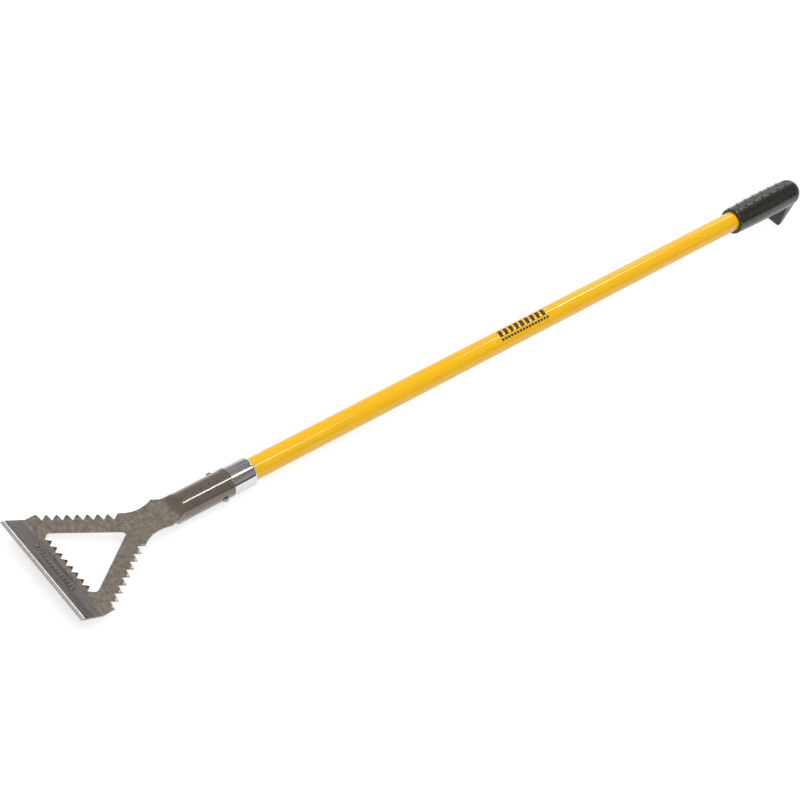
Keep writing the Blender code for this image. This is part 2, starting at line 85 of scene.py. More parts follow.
# Teeth
ARM_ANGLE = math.radians(33.9)
TOOTH_PITCH = 12.7 * MM
TOOTH_DEPTH = 10.0 * MM
TOOTH_LEAN = 8.1 * MM  # valley's place along the arm, from the tooth's tip towards the neck
FIRST_TIP = Vector((-197.5, 37.2)) * MM
ARM_TEETH = 8
ARM_WIDTH = 28.2 * MM  # from the tips to the opening
BAR_X = -284.0 * MM  # the roots of the teeth inside the opening
BAR_PITCH = 11.8 * MM
BAR_TEETH = 8
BAR_TOOTH_HEIGHT = 7.1 * MM
OPENING_CORNER_R = 5.0 * MM
TIP_GRIND = 4.8 * MM  # how far in from the tips the teeth are ground
TIP_THICK = 1.2 * MM
BAR_END_STEPS = 8
BAR_TOOTH_STEPS = 8

# Pressed swage along the blade's bend
SWAGE_HALF = 73.0 * MM
SWAGE_WIDTH = 18.0 * MM
SWAGE_START = 1.0 * MM
SWAGE_DEPTH = 2.2 * MM

# Stamped bars beside the swage, a plain pattern
STAMP_HALF = 42.0 * MM
STAMP_MIDDLE = 18.5 * MM
STAMP_REACH = 5.0 * MM
STAMP_PITCH = 5.9 * MM
STAMP_LEAN = 0.35
STAMP_HEIGHT = 1.1 * MM
STAMP_END_SOFT = 1.0 * MM
STAMP_BAR_HALF = 0.38  # as a share of the pitch, as far as the foot of its flanks
STAMP_STEEPNESS = 4.0

# Socket
SOCKET_R = 18.8 * MM  # to the middle of the sheet
SOCKET_MOUTH = -37.5 * MM
SOCKET_FULL = -112.0 * MM
SOCKET_LIP = 0.5 * MM
SOCKET_LIP_LENGTH = 8.0 * MM
SEAM_HALF_ANGLE = math.radians(8.0)
WING_START = -141.0 * MM
WING_END = -114.5 * MM
RIM_POWER = 0.6
SOCKET_WHOLE = -102.0 * MM
PRESS_START = -128.0 * MM
PRESS_END = -105.0 * MM
FOLD_R = 5.0 * MM
FOLD_GROWS = 13.0 * MM
MAX_FOLD_COS = 0.35
SOCKET_TAPER = 0.3 * MM
FLARE = 14.5 * MM
OVER_STEPS = 26
WING_STEPS = 26
ROLLED_STEPS = 46
BARREL_STEP = 9.0 * MM
BARREL_ROWS = 6
MOUTH_STEPS = 8

# Ferrule and rivet
FERRULE_R = 20.5 * MM
FERRULE_ROUND = 3.5 * MM
SPIGOT_R = 17.2 * MM
SPIGOT_END = -47.0 * MM
RIVET_X = -52.0 * MM
RIVET_R = 3.0 * MM
RIVET_HEAD_R = 5.0 * MM
RIVET_HEAD_HEIGHT = 3.2 * MM
RIVET_TURN = math.radians(12)
RIVET_DRILL = 80.0 * MM

# Grip
GRIP_R = 21.2 * MM  # at its rim
GRIP_BULGE = 1.5 * MM
GRIP_END = 1153.0 * MM
GRIP_DOME = 20.0 * MM
GRIP_RIM = 1.6 * MM
HOOK_HALF = 15.0 * MM
HOOK_INNER_X = 1125.0 * MM
HOOK_TIP = (1121.5 * MM, -58.0 * MM)
HOOK_BACK = [
    (1131.0, -55.0),
    (1136.0, -42.0),
    (1142.0, -28.0),
    (1147.5, -16.0),
    (1149.5, -8.0),
    (1147.5, 0.0),
    (1140.0, 6.0),
]
HOOK_ROUND = 2.2 * MM
DOT_PITCH = 20.2 * MM
DOT_FIRST = 996.0 * MM
DOT_TURN = math.radians(27.5)
DOT_ROWS = 2  # to each side of the row along the top
DOTS_IN_ROW = 7
DOT_R = 2.1 * MM
DOT_HEIGHT = 0.8 * MM
DOT_SIDES = 20
DOT_RINGS = 8  # from a dot's top down into the grip
DOT_RING_STEP = math.pi / 28

# Materials: ranges along the tool, in metres, over which one colour turns into the next: the
# socket's finish, the blade's painted shade, and the honed edge's painted highlight fading to its
# front
PLATE_TO_SOCKET = (-0.135, -0.112)
# The blade's darker colour is painted shade.
PLATE_TO_BLADE = (-0.286, -0.293)
# The honed band is a painted highlight that darkens towards the front edge.
HONED_GLINT_TO_DARK_FRONT = (-0.3152, -0.3197)

# Studio and camera, in the tool's frame
STRIP_HEIGHT = 1.5
CAMERA_AZIMUTH = math.radians(-51.203)
CAMERA_ELEVATION = math.radians(45.808)
CAMERA_ROLL = math.radians(14.253)
CAMERA_PLACE = Vector((-1061.7, -1071.2, 1741.3)) * MM
CAMERA_LENS = 78.4575


def smoothstep(t):
    """0 up to t = 0, 1 from t = 1 on, and level at both."""
    t = min(1.0, max(0.0, t))
    return t * t * (3 - 2 * t)


def smooth_min(a, b, radius):
    """The lower of two heights, with the corner between them rounded off."""
    if abs(a - b) >= radius:
        return min(a, b)
    h = 0.5 + 0.5 * (b - a) / radius
    return b + (a - b) * h - radius * h * (1 - h)


# ---------------------------------------------------------------- mesh helpers


def new_object(name, data):
    made = bpy.data.objects.new(name, data)
    bpy.context.scene.collection.objects.link(made)
    return made


def mesh_object(name, bm):
    mesh = bpy.data.meshes.new(name)
    bm.to_mesh(mesh)
    bm.free()
    return new_object(name, mesh)


def apply_modifiers(part):
    """The part's modifiers become its mesh."""
    graph = bpy.context.evaluated_depsgraph_get()
    mesh = bpy.data.meshes.new_from_object(part.evaluated_get(graph))
    old = part.data
    part.modifiers.clear()
    part.data = mesh
    bpy.data.meshes.remove(old)


def shade(part, angle=32):
    part.data.shade_smooth()
    part.data.set_sharp_from_angle(angle=math.radians(angle))


def lay_down(part):
    """From the tool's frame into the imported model's."""
    part.data.transform(TOOL)
    part.data.update()


def finish_piece(part, slot, *nodes):
    """Lays a piece down with the tool, hangs it from the root body and hides the imported nodes it
    takes the place of.
    """
    lay_down(part)
    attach(part, "root")
    if nodes:
        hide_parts(*nodes)


def combine(part, other, operation, transfer=False):
    """Joins the other mesh to the part, or cuts it away and can leave its material on the cut."""
    modifier = part.modifiers.new("Combine", "BOOLEAN")
    modifier.operation = operation
    modifier.solver = "EXACT"
    modifier.object = other
    if transfer:
        modifier.material_mode = "TRANSFER"
    apply_modifiers(part)
    bpy.data.objects.remove(other, do_unlink=True)


def bevel_edges(part, width, segments, angle=40):
    bevel = part.modifiers.new("Bevel", "BEVEL")
    bevel.width = width
    bevel.segments = segments
    bevel.limit_method = "ANGLE"
    bevel.angle_limit = math.radians(angle)
    apply_modifiers(part)


def soften_edges(part, width):
    """Rounds the sharp edges, once the large many-sided faces are cut up."""
    cut_up = part.modifiers.new("Cut up", "TRIANGULATE")
    cut_up.min_vertices = 5
    apply_modifiers(part)
    bevel_edges(part, width, 2)
    shade(part, 60)
    even = part.modifiers.new("Even shading", "WEIGHTED_NORMAL")
    even.keep_sharp = True
    apply_modifiers(part)


def turned(name, outline, sides=192, closed=True):
    """An outline of (x, radius) points turned about the tool's x axis."""
    bm = bmesh.new()
    points = [bm.verts.new((x, 0.0, radius)) for x, radius in outline]
    pairs = zip(points, points[1:] + points[:1]) if closed else zip(points, points[1:])
    for one, two in pairs:
        bm.edges.new((one, two))
    part = mesh_object(name, bm)
    screw = part.modifiers.new("Turn", "SCREW")
    screw.axis = "X"
    screw.steps = sides
    screw.render_steps = sides
    screw.use_merge_vertices = True
    screw.merge_threshold = 0.00001
    screw.use_normal_calculate = closed
    apply_modifiers(part)
    return part


def round_bar(name, radius, length, sides, stand):
    """A plain cylinder about z, put in its place by the matrix stand."""
    bm = bmesh.new()
    bmesh.ops.create_cone(
        bm, cap_ends=True, segments=sides, radius1=radius, radius2=radius, depth=length
    )
    bm.transform(stand)
    return mesh_object(name, bm)


def arc(centre, radius, first, last, steps):
    """Points of (x, radius) on an arc, its angles in degrees from +x towards outwards."""
    turns = [math.radians(first + (last - first) * i / steps) for i in range(steps + 1)]
    return [(centre[0] + radius * math.cos(a), centre[1] + radius * math.sin(a)) for a in turns]


def rounded(before, corner, after, radius, steps=8):
    """The arc of that radius which takes the corner's place and touches both of its sides."""
    one, two = (before - corner).normalized(), (after - corner).normalized()
    half = one.angle(two) / 2
    centre = corner + (one + two).normalized() * radius / math.sin(half)
    start = corner + one * radius / math.tan(half) - centre
    end = corner + two * radius / math.tan(half) - centre
    sweep = start.angle_signed(end)
    turns = [Matrix.Rotation(-sweep * i / steps, 2) for i in range(steps + 1)]
    return [centre + turn @ start for turn in turns]


# ---------------------------------------------------------------- the head's sheet


def frame_point(s, y, lift=0.0):
    """A point of the tilted frame: s as x would be without the tilt, lift square to the plate."""
    along = s - FRAME_PIVOT_X
    x = FRAME_PIVOT_X + along * math.cos(FRAME_TILT) - lift * math.sin(FRAME_TILT)
    z = FRAME_PIVOT_Z + along * math.sin(FRAME_TILT) + lift * math.cos(FRAME_TILT)
    return Vector((x, y, z))


def neck_half(s):
    """Half the neck's width: a waist that widens towards the socket and the arms."""
    widening = WAIST_SPREAD_TO_SOCKET if s > WAIST_S else WAIST_SPREAD_TO_ARMS
    return WAIST_HALF + widening * (s - WAIST_S) ** 2


def socket_radius(x):
    flare = max(0.0, (SOCKET_FULL - x) / (SOCKET_FULL - NECK_START))
    taper = SOCKET_TAPER * (SOCKET_MOUTH - x) / (SOCKET_MOUTH - NECK_START)
    lip = SOCKET_LIP * smoothstep(1 - (SOCKET_MOUTH - x) / SOCKET_LIP_LENGTH)
    return SOCKET_R + lip - taper + FLARE * flare**3


def plate_height(x):
    return FRAME_PIVOT_Z + (x - FRAME_PIVOT_X) * math.tan(FRAME_TILT)


def sheet_point(x, share):
    """A point of neck or socket: share 0 is its top line, 1 the plate's edge, 2 the seam."""
    level, radius = plate_height(x), socket_radius(x)
    fold = math.acos(min(level / radius, MAX_FOLD_COS))
    if x < WING_START:
        return Vector((x, neck_half(x) * math.sin(fold * share) / math.sin(fold), level))
    full = math.pi - SEAM_HALF_ANGLE
    angle = fold * share if share <= 1 else fold + (full - fold) * (share - 1)
    rise = smoothstep((x - PRESS_START) / (PRESS_END - PRESS_START))
    top = level + rise * (SOCKET_R + 2 * FOLD_R - level)
    fold_r = FOLD_R * smoothstep((x - WING_START) / FOLD_GROWS) + 0.01 * MM
    height = smooth_min(radius * math.cos(angle), top, fold_r)
    return Vector((x, radius * math.sin(angle), height))


def over_shares():
    """From the top line to the plate's edge."""
    return [math.sin(math.pi / 2 * i / OVER_STEPS) for i in range(OVER_STEPS + 1)]


def wing_shares():
    """From the plate's edge round to the seam."""
    turns = [math.pi / 2 * i / WING_STEPS for i in range(1, WING_STEPS + 1)]
    return [2 - math.cos(turn) for turn in turns]


def both_sides(half):
    return half[::-1] + [Vector((p.x, -p.y, p.z)) for p in half[1:]]


def neck_row(x):
    return both_sides([sheet_point(x, share) for share in over_shares()])


def rolled_row(t):
    """A row between the wings' free rim, at t = 0, and the whole socket, at t = 1."""
    half = []
    for share in over_shares() + wing_shares():
        rim = WING_START + (WING_END - WING_START) * max(0.0, share - 1) ** RIM_POWER
        half.append(sheet_point(rim + t * (SOCKET_WHOLE - rim), share))
    return both_sides(half)


def barrel_row(x):
    return both_sides([sheet_point(x, share) for share in over_shares() + wing_shares()])


def socket_rows():
    rolled_rows_and_blade_shade = [rolled_row(i / ROLLED_STEPS) for i in range(ROLLED_STEPS + 1)]
    barrel = [SOCKET_WHOLE + BARREL_STEP * i for i in range(1, BARREL_ROWS + 1)]
    lip = [1 - i / MOUTH_STEPS for i in range(MOUTH_STEPS + 1)]
    mouth = [SOCKET_MOUTH - SOCKET_LIP_LENGTH * share for share in lip]
    return rolled_rows_and_blade_shade + [barrel_row(x) for x in barrel + mouth]


def arm_direction():
    return Vector((-math.cos(ARM_ANGLE), math.sin(ARM_ANGLE)))


def arm_inward():
    return Vector((-math.sin(ARM_ANGLE), -math.cos(ARM_ANGLE)))


def arm_tip(i):
    return FIRST_TIP + arm_direction() * TOOTH_PITCH * i


def arm_valley(i):
    return arm_tip(i) - arm_direction() * TOOTH_LEAN + arm_inward() * TOOTH_DEPTH


def side_half(w):
    """Half the blade's width at w from the bar's roots."""
    inner = arm_tip(ARM_TEETH - 1).y
    return inner + (BLADE_HALF - inner) * w / BLADE_LENGTH


def outer_edge():
    """One side's outline from the neck to the last tooth."""
    steps = 19
    shoulder = arm_tip(-1)
    neck_end = shoulder.x + 2 * MM
    points = []
    for i in range(1, steps + 1):
        s = NECK_START + (neck_end - NECK_START) * i / steps
        points.append(Vector((s, min(neck_half(s), shoulder.y))))
    points.append(shoulder)
    for i in range(ARM_TEETH):
        points += [arm_valley(i), arm_tip(i)]
    return points


def opening_edge():
    """One side's outline of the triangular opening, from the bar to the middle of its top."""
    arm = arm_direction()
    base = FIRST_TIP + arm_inward() * ARM_WIDTH
    apex = base - arm * base.y / arm.y
    root = Vector((BAR_X, BAR_PITCH * BAR_TEETH / 2))
    flank = Vector((BAR_TOOTH_HEIGHT, BAR_PITCH / 2))
    offset = root - apex
    reach = (arm.x * offset.y - arm.y * offset.x) / (flank.x * arm.y - flank.y * arm.x)
    corner = root + flank * reach
    mirrored = Vector((corner.x, -corner.y))
    top = rounded(corner, apex, mirrored, OPENING_CORNER_R, steps=16)
    return [root] + rounded(root, corner, apex, OPENING_CORNER_R) + top[: len(top) // 2 + 1]


def bar_places():
    """Places across the blade's root: both ends, and the bar with its teeth between them."""
    outer = side_half(0.0)
    root = BAR_PITCH * BAR_TEETH / 2
    ends = [outer + (root - outer) * i / BAR_END_STEPS for i in range(BAR_END_STEPS)]
    count = BAR_TOOTH_STEPS * BAR_TEETH
    middle = [root - 2 * root * i / count for i in range(count + 1)]
    return ends + middle + [-y for y in reversed(ends)]


def frame_faces(bm):
    """The flat frame: one outline round both arms, and a small face for each tooth of the bar."""
    places = bar_places()
    end_bar = [Vector((BAR_X, y)) for y in places[:BAR_END_STEPS]]
    half = outer_edge() + end_bar + opening_edge()
    loop = half + [Vector((p.x, -p.y)) for p in reversed(half)]
    if (half[-1] - loop[len(half)]).length < 0.001 * MM:
        loop.pop(len(half))
    corners = [frame_point(p.x, p.y) for p in loop] + neck_row(NECK_START)[::-1]
    bm.faces.new([bm.verts.new(p) for p in corners])
    for i in range(BAR_TEETH):
        first = BAR_END_STEPS + BAR_TOOTH_STEPS * i
        roots = [frame_point(BAR_X, y) for y in places[first : first + BAR_TOOTH_STEPS + 1]]
        tip = frame_point(BAR_X + BAR_TOOTH_HEIGHT, places[first + BAR_TOOTH_STEPS // 2])
        bm.faces.new([bm.verts.new(p) for p in roots + [tip]])


def blade_profile(w):
    """Where the blade's middle surface is at w from the bar's roots: along, up, and its slope."""
    tangent = BEND_R * math.tan(BLADE_RISE / 2)
    start = BAR_X - BEND_X - tangent
    if w <= start:
        return -w, 0.0, 0.0
    turned_by = min((w - start) / BEND_R, BLADE_RISE)
    along = -start - BEND_R * math.sin(turned_by)
    up = BEND_R * (1 - math.cos(turned_by))
    straight = max(0.0, w - start - BEND_R * BLADE_RISE)
    along -= straight * math.cos(BLADE_RISE)
    up += straight * math.sin(BLADE_RISE)
    return along, up, turned_by


def swage(w, y):
    """How deep the blade is pressed in: a long lens beside the bend."""
    share = 1 - (y / SWAGE_HALF) ** 2
    if share <= 0:
        return 0.0
    t = (w - SWAGE_START) / (SWAGE_WIDTH * share)
    if not 0 < t < 1:
        return 0.0
    return SWAGE_DEPTH * math.sqrt(share) * math.sin(math.pi * t) ** 2


def stamp(w, y):
    """How far the slanted, stamped bars stand up."""
    if abs(y) > STAMP_HALF or abs(w - STAMP_MIDDLE) > STAMP_REACH:
        return 0.0
    turn = (y + STAMP_LEAN * (w - STAMP_MIDDLE)) / STAMP_PITCH % 1.0
    ends = smoothstep((STAMP_REACH - abs(w - STAMP_MIDDLE)) / STAMP_END_SOFT)
    flanks = smoothstep(STAMP_STEEPNESS * (STAMP_BAR_HALF - abs(turn - 0.5)))
    return STAMP_HEIGHT * ends * flanks


def blade_rows():
    fine = [BLADE_FINE_STEP * i for i in range(BLADE_FINE_ROWS + 1)]
    step = (BLADE_LENGTH - fine[-1]) / BLADE_COARSE_ROWS
    coarse = [fine[-1] + step * i for i in range(1, BLADE_COARSE_ROWS + 1)]
    rows = []
    for w in fine + coarse:
        along, up, slope = blade_profile(w)
        widening = side_half(w) / side_half(0.0)
        row = []
        for place_across in bar_places():
            y = place_across * widening
            press = swage(w, y) - stamp(w, y)
            s = BAR_X + along - press * math.sin(slope)
            row.append(frame_point(s, y, up - press * math.cos(slope)))
        rows.append(row)
    return rows


def add_rows(bm, rows):
    """Faces between each row of points and the next."""
    verts = [[bm.verts.new(p) for p in row] for row in rows]
    for low, high in zip(verts, verts[1:]):
        for i in range(len(low) - 1):
            bm.faces.new((low[i], low[i + 1], high[i + 1], high[i]))


def grinding_wheel():
    """The block that takes the slope off the blade's edge."""
    length = 2 * (BLADE_HALF + WHEEL_BESIDE)
    drop = math.atan2(SHEET - GRIND_EDGE, GRIND_WIDTH)
    bm = bmesh.new()
    bmesh.ops.create_cube(bm, size=1.0)
    bm.transform(Matrix.Diagonal((WHEEL_DEPTH, length, WHEEL_HEIGHT, 1.0)))
    bm.transform(Matrix.Translation((WHEEL_BEHIND - WHEEL_DEPTH / 2, 0, WHEEL_HEIGHT / 2)))
    bm.transform(Matrix.Rotation(-drop, 4, "Y"))
    bm.transform(Matrix.Translation((0, 0, SHEET / 2)))
    bm.transform(Matrix.Rotation(BLADE_RISE, 4, "Y"))
    along, up, _ = blade_profile(BLADE_LENGTH - GRIND_WIDTH)
    bm.transform(Matrix.Translation((BAR_X + along - FRAME_PIVOT_X, 0, up)))
    bm.transform(Matrix.Rotation(-FRAME_TILT, 4, "Y"))
    bm.transform(Matrix.Translation((FRAME_PIVOT_X, 0, FRAME_PIVOT_Z)))
    return mesh_object("grinding_wheel", bm)


def tooth_grinder(base, along, inward, length):
    """The wedge that slopes a row of teeth towards their tips."""
    top = SHEET / 2
    drop = (SHEET - TIP_THICK) / TIP_GRIND
    beyond = 5 * MM
    section = [
        (TIP_GRIND, top),
        (-beyond, top - drop * (TIP_GRIND + beyond)),
        (-beyond, top + beyond),
        (TIP_GRIND, top + beyond),
    ]
    bm = bmesh.new()
    ends = []
    for run in (0.0, length):
        places = [(base + along * run + inward * depth, lift) for depth, lift in section]
        ends.append([bm.verts.new(frame_point(p.x, p.y, lift)) for p, lift in places])
    bm.faces.new(ends[0])
    bm.faces.new(ends[1])
    for i in range(4):
        j = (i + 1) % 4
        bm.faces.new((ends[0][i], ends[0][j], ends[1][j], ends[1][i]))
    bmesh.ops.recalc_face_normals(bm, faces=bm.faces[:])
    return mesh_object("tooth_grinder", bm)


def tooth_grinders():
    """For the +y arm, the -y arm and the bar."""
    arm, inward = arm_direction(), arm_inward()
    start = arm_tip(-1)
    length = TOOTH_PITCH * ARM_TEETH + 0.5 * MM
    root = BAR_PITCH * BAR_TEETH / 2
    bar_start = Vector((BAR_X + BAR_TOOTH_HEIGHT, -root))
    flip = Matrix(((1, 0), (0, -1)))
    return [
        tooth_grinder(start, arm, inward, length),
        tooth_grinder(flip @ start, flip @ arm, flip @ inward, length),
        tooth_grinder(bar_start, Vector((0, 1)), Vector((-1, 0)), 2 * root),
    ]


def head_sheet():
    """The folded sheet, as thick as it is, before anything is ground or drilled."""
    bm = bmesh.new()
    add_rows(bm, [neck_row(x) for x in (NECK_START, (NECK_START + WING_START) / 2, WING_START)])
    add_rows(bm, socket_rows())
    frame_faces(bm)
    add_rows(bm, blade_rows())
    bmesh.ops.remove_doubles(bm, verts=bm.verts[:], dist=0.01 * MM)
    bmesh.ops.recalc_face_normals(bm, faces=bm.faces[:])
    head = mesh_object("head_sheet", bm)
    sheet = head.modifiers.new("Sheet", "SOLIDIFY")
    sheet.thickness = SHEET
    sheet.offset = 0.0
    sheet.use_even_offset = True
    apply_modifiers(head)
    return head


def make_head(steel, ground, shaded_facets, honed):
    head = head_sheet()
    head.data.materials.append(steel)
    cutters = [grinding_wheel()] + tooth_grinders()
    # The teeth's facets: the -y arm's take the lit copy of the ground steel, and the +y arm's and
    # the bar's take a copy painted dark as shade.
    for cutter, finish in zip(cutters, (honed, shaded_facets, ground, shaded_facets)):
        cutter.data.materials.append(finish)
        combine(head, cutter, "DIFFERENCE", transfer=True)
    across = Matrix.Rotation(math.pi / 2 + RIVET_TURN, 4, "X")
    stand = Matrix.Translation((RIVET_X, 0, 0)) @ across
    drill = round_bar("rivet_hole", RIVET_R + GAP, RIVET_DRILL, 48, stand)
    combine(head, drill, "DIFFERENCE")
    soften_edges(head, EDGE_SOFT)
    finish_piece(head, "lacquered_steel", "shovel_head")


# ---------------------------------------------------------------- handle, ferrule and rivet


def make_handle(glass):
    inner = HANDLE_R - HANDLE_WALL
    outline = [(HANDLE_HIGH, HANDLE_R), (HANDLE_LOW, HANDLE_R)]
    outline += [(HANDLE_LOW, inner), (HANDLE_HIGH, inner)]
    tube = turned("handle_shaft", outline)
    tube.data.materials.append(glass)
    shade(tube)
    finish_piece(tube, "yellow_fibreglass", "handle_tube")


def make_ferrule(chrome):
    bore = HANDLE_R + GAP
    shoulder = SOCKET_MOUTH + GAP
    lip = 0.5 * MM
    crown = arc((-FERRULE_ROUND, FERRULE_R - FERRULE_ROUND), FERRULE_ROUND, 0, 90, 20)
    edge = arc((shoulder + lip, FERRULE_R - lip), lip, 90, 180, 5)
    outline = [(0.0, bore)] + crown + edge + [(shoulder, SPIGOT_R)]
    outline += [(SPIGOT_END, SPIGOT_R), (SPIGOT_END, bore)]
    ferrule = turned("ferrule_collar", outline)
    ferrule.data.materials.append(chrome)
    shade(ferrule)
    finish_piece(ferrule, "chrome_plate", "ferrule")


def make_rivet(steel):
    seat = SOCKET_R + SHEET / 2 + GAP
    ball = (RIVET_HEAD_R**2 + RIVET_HEAD_HEIGHT**2) / (2 * RIVET_HEAD_HEIGHT)
    centre = seat + RIVET_HEAD_HEIGHT - ball
    rim = math.degrees(math.asin(RIVET_HEAD_R / ball))
    half = arc((centre, 0.0), ball, 0, rim, 14) + [(seat, RIVET_R)]
    outline = half + [(-x, radius) for x, radius in reversed(half)]
    rivet = turned("rivet_heads", outline, sides=48, closed=False)
    swing = Matrix.Rotation(RIVET_TURN, 4, "X") @ Matrix.Rotation(math.pi / 2, 4, "Z")
    rivet.data.transform(Matrix.Translation((RIVET_X, 0, 0)) @ swing)
    rivet.data.materials.append(steel)
    shade(rivet)
    finish_piece(rivet, "rivet_steel", "head_rivet")


# ---------------------------------------------------------------- print on the handle


def on_handle(x, turn):
    """A point just over the handle's surface, turn degrees from its top towards -y."""
    angle = math.radians(turn)
    radius = HANDLE_R + PRINT_LIFT
    return Vector((x, -radius * math.sin(angle), radius * math.cos(angle)))


def print_block(bm, x, width, angles, slant):
    """A slanted bar of print between two angles round the handle."""
    low, high = angles
    steps = 10
    rows = []
    for i in range(steps + 1):
        turn = low + (high - low) * i / steps
        shift = slant * i / steps
        rows.append([bm.verts.new(on_handle(x + shift + width * k, turn)) for k in (0, 1)])
    for one, two in zip(rows, rows[1:]):
        bm.faces.new((one[0], two[0], two[1], one[1]))


def make_print(ink):
    """A generic mark: a row of slanted bars over a row of dashes."""
    bm = bmesh.new()
    pitch = PRINT_LENGTH / PRINT_BARS
    for i in range(PRINT_BARS):
        x = PRINT_START + pitch * i + PRINT_BAR_INSET
        print_block(bm, x, PRINT_BAR_SHARE * pitch, PRINT_BAR_ANGLES, PRINT_BAR_SLANT)
    pitch = PRINT_LENGTH / PRINT_DASHES
    for i in range(PRINT_DASHES):
        x = PRINT_START + pitch * i
        print_block(bm, x, PRINT_DASH_SHARE * pitch, PRINT_DASH_ANGLES, 0.0)
    mark = mesh_object("handle_print", bm)
    mark.data.materials.append(ink)
    mark.data.shade_smooth()
    finish_piece(mark, "black_rubber")


# ---------------------------------------------------------------- grip


def grip_radius(x):
    """Rounded at the rim, a little fuller in the middle, and domed at the end."""
    start, end = HANDLE_BARE, GRIP_END
    radius = GRIP_R + GRIP_BULGE * math.sin(math.pi * (x - start) / (end - start))
    from_rim = min(1.0, (x - start) / GRIP_RIM)
    radius -= GRIP_RIM * (1 - math.sqrt(max(0.0, 1 - (1 - from_rim) ** 2)))
    into_dome = max(0.0, (x - (end - GRIP_DOME)) / GRIP_DOME)
    return radius * math.sqrt(max(0.0, 1 - into_dome**2))


def grip_outline():
    dome = [GRIP_END - GRIP_DOME * (1 - math.cos(math.radians(3 * i))) for i in range(31)]
    straight = dome[-1] - HANDLE_BARE - GRIP_RIM
    body = [dome[-1] - straight * i / 60 for i in range(1, 60)]
    rim = [HANDLE_BARE + GRIP_RIM * (1 - math.sin(math.radians(10 * i))) for i in range(10)]
    return [(x, grip_radius(x)) for x in dome + body + rim] + [(HANDLE_BARE, 0.0)]


def hook_prism():
    """The hook's side outline drawn out across the grip, with rounded edges."""
    back = [(x * MM, z * MM) for x, z in HOOK_BACK]
    outline = [(HOOK_INNER_X, back[-1][1]), (HOOK_INNER_X, -GRIP_R), HOOK_TIP] + back
    bm = bmesh.new()
    face = bm.faces.new([bm.verts.new((x, -HOOK_HALF, z)) for x, z in outline])
    drawn = bmesh.ops.extrude_face_region(bm, geom=[face])["geom"]
    moved = [v for v in drawn if isinstance(v, bmesh.types.BMVert)]
    bmesh.ops.translate(bm, verts=moved, vec=(0, 2 * HOOK_HALF, 0))
    bmesh.ops.recalc_face_normals(bm, faces=bm.faces[:])
    hook = mesh_object("hook_prism", bm)
    bevel_edges(hook, HOOK_ROUND, 6)
    return hook


def add_cap(bm, ball, stand):
    """The top of a ball: triangles round its pole, and rings of faces below them."""
    pole = bm.verts.new(stand @ Vector((0.0, 0.0, ball)))
    rings = []
    for ring in range(1, DOT_RINGS + 1):
        height = ball * math.cos(DOT_RING_STEP * ring)
        radius = ball * math.sin(DOT_RING_STEP * ring)
        turns = [2 * math.pi * i / DOT_SIDES for i in range(DOT_SIDES)]
        points = [Vector((radius * math.cos(a), radius * math.sin(a), height)) for a in turns]
        rings.append([bm.verts.new(stand @ point) for point in points])
    for i in range(DOT_SIDES):
        j = (i + 1) % DOT_SIDES
        bm.faces.new((pole, rings[0][i], rings[0][j]))
        for high, low in zip(rings, rings[1:]):
            bm.faces.new((high[i], low[i], low[j], high[j]))


def grip_dots():
    """Small raised dots in staggered rows along the grip, as one mesh of spherical caps."""
    bm = bmesh.new()
    ball = (DOT_R**2 + DOT_HEIGHT**2) / (2 * DOT_HEIGHT)
    for row in range(-DOT_ROWS, DOT_ROWS + 1):
        stagger = row % 2 / 2
        for i in range(DOTS_IN_ROW):
            x = DOT_FIRST + (i + stagger) * DOT_PITCH
            out = Matrix.Translation((x, 0, grip_radius(x) + DOT_HEIGHT - ball))
            add_cap(bm, ball, Matrix.Rotation(-row * DOT_TURN, 4, "X") @ out)
    return mesh_object("grip_dots", bm)


def make_grip(rubber, matt):
    grip = turned("grip_body", grip_outline(), sides=160, closed=False)
    combine(grip, hook_prism(), "UNION")
    low, high = HANDLE_BARE - 10 * MM, HANDLE_HIGH + GAP
    middle = Matrix.Translation(((low + high) / 2, 0, 0))
    stand = middle @ Matrix.Rotation(math.pi / 2, 4, "Y")
    combine(grip, round_bar("grip_bore", HANDLE_R + GAP, high - low, 160, stand), "DIFFERENCE")
    grip.data.materials.append(rubber)
    shade(grip, 38)
    dots = grip_dots()
    dots.data.materials.append(matt)
    dots.data.shade_smooth()
    finish_piece(dots, "black_rubber")
    finish_piece(grip, "black_rubber", "hook_grip")


# ---------------------------------------------------------------- materials


def new_material(name, **constants):
    """A Principled material whose fixed sockets are set here, and the parts to add nodes with."""
    made = bpy.data.materials.new(name)
    made.use_nodes = True
    shader = made.node_tree.nodes["Principled BSDF"]
    for socket, value in constants.items():
        shader.inputs[socket.replace("_", " ")].default_value = value
    return made, made.node_tree, shader


def place(tree, scale=(1, 1, 1)):
    """Positions on the piece, in metres, stretched by scale."""
    coordinates = tree.nodes.new("ShaderNodeTexCoord")
    mapping = tree.nodes.new("ShaderNodeMapping")
    mapping.inputs["Scale"].default_value = scale
    tree.links.new(coordinates.outputs["Object"], mapping.inputs["Vector"])
    return mapping.outputs["Vector"]


def noise(tree, vector, scale, detail=4.0, roughness=0.55):
    node = tree.nodes.new("ShaderNodeTexNoise")
    node.inputs["Scale"].default_value = scale
    node.inputs["Detail"].default_value = detail
    node.inputs["Roughness"].default_value = roughness
    tree.links.new(vector, node.inputs["Vector"])
    return node.outputs["Fac"]


def ramp(tree, value, stops):
    """Colours at positions from 0 to 1."""
    node = tree.nodes.new("ShaderNodeValToRGB")
    colours = node.color_ramp.elements
    while len(colours) < len(stops):
        colours.new(0.5)
    for element, (position, colour) in zip(colours, stops):
        element.position = position
        element.color = (*colour, 1.0)
    tree.links.new(value, node.inputs["Fac"])
    return node.outputs["Color"]


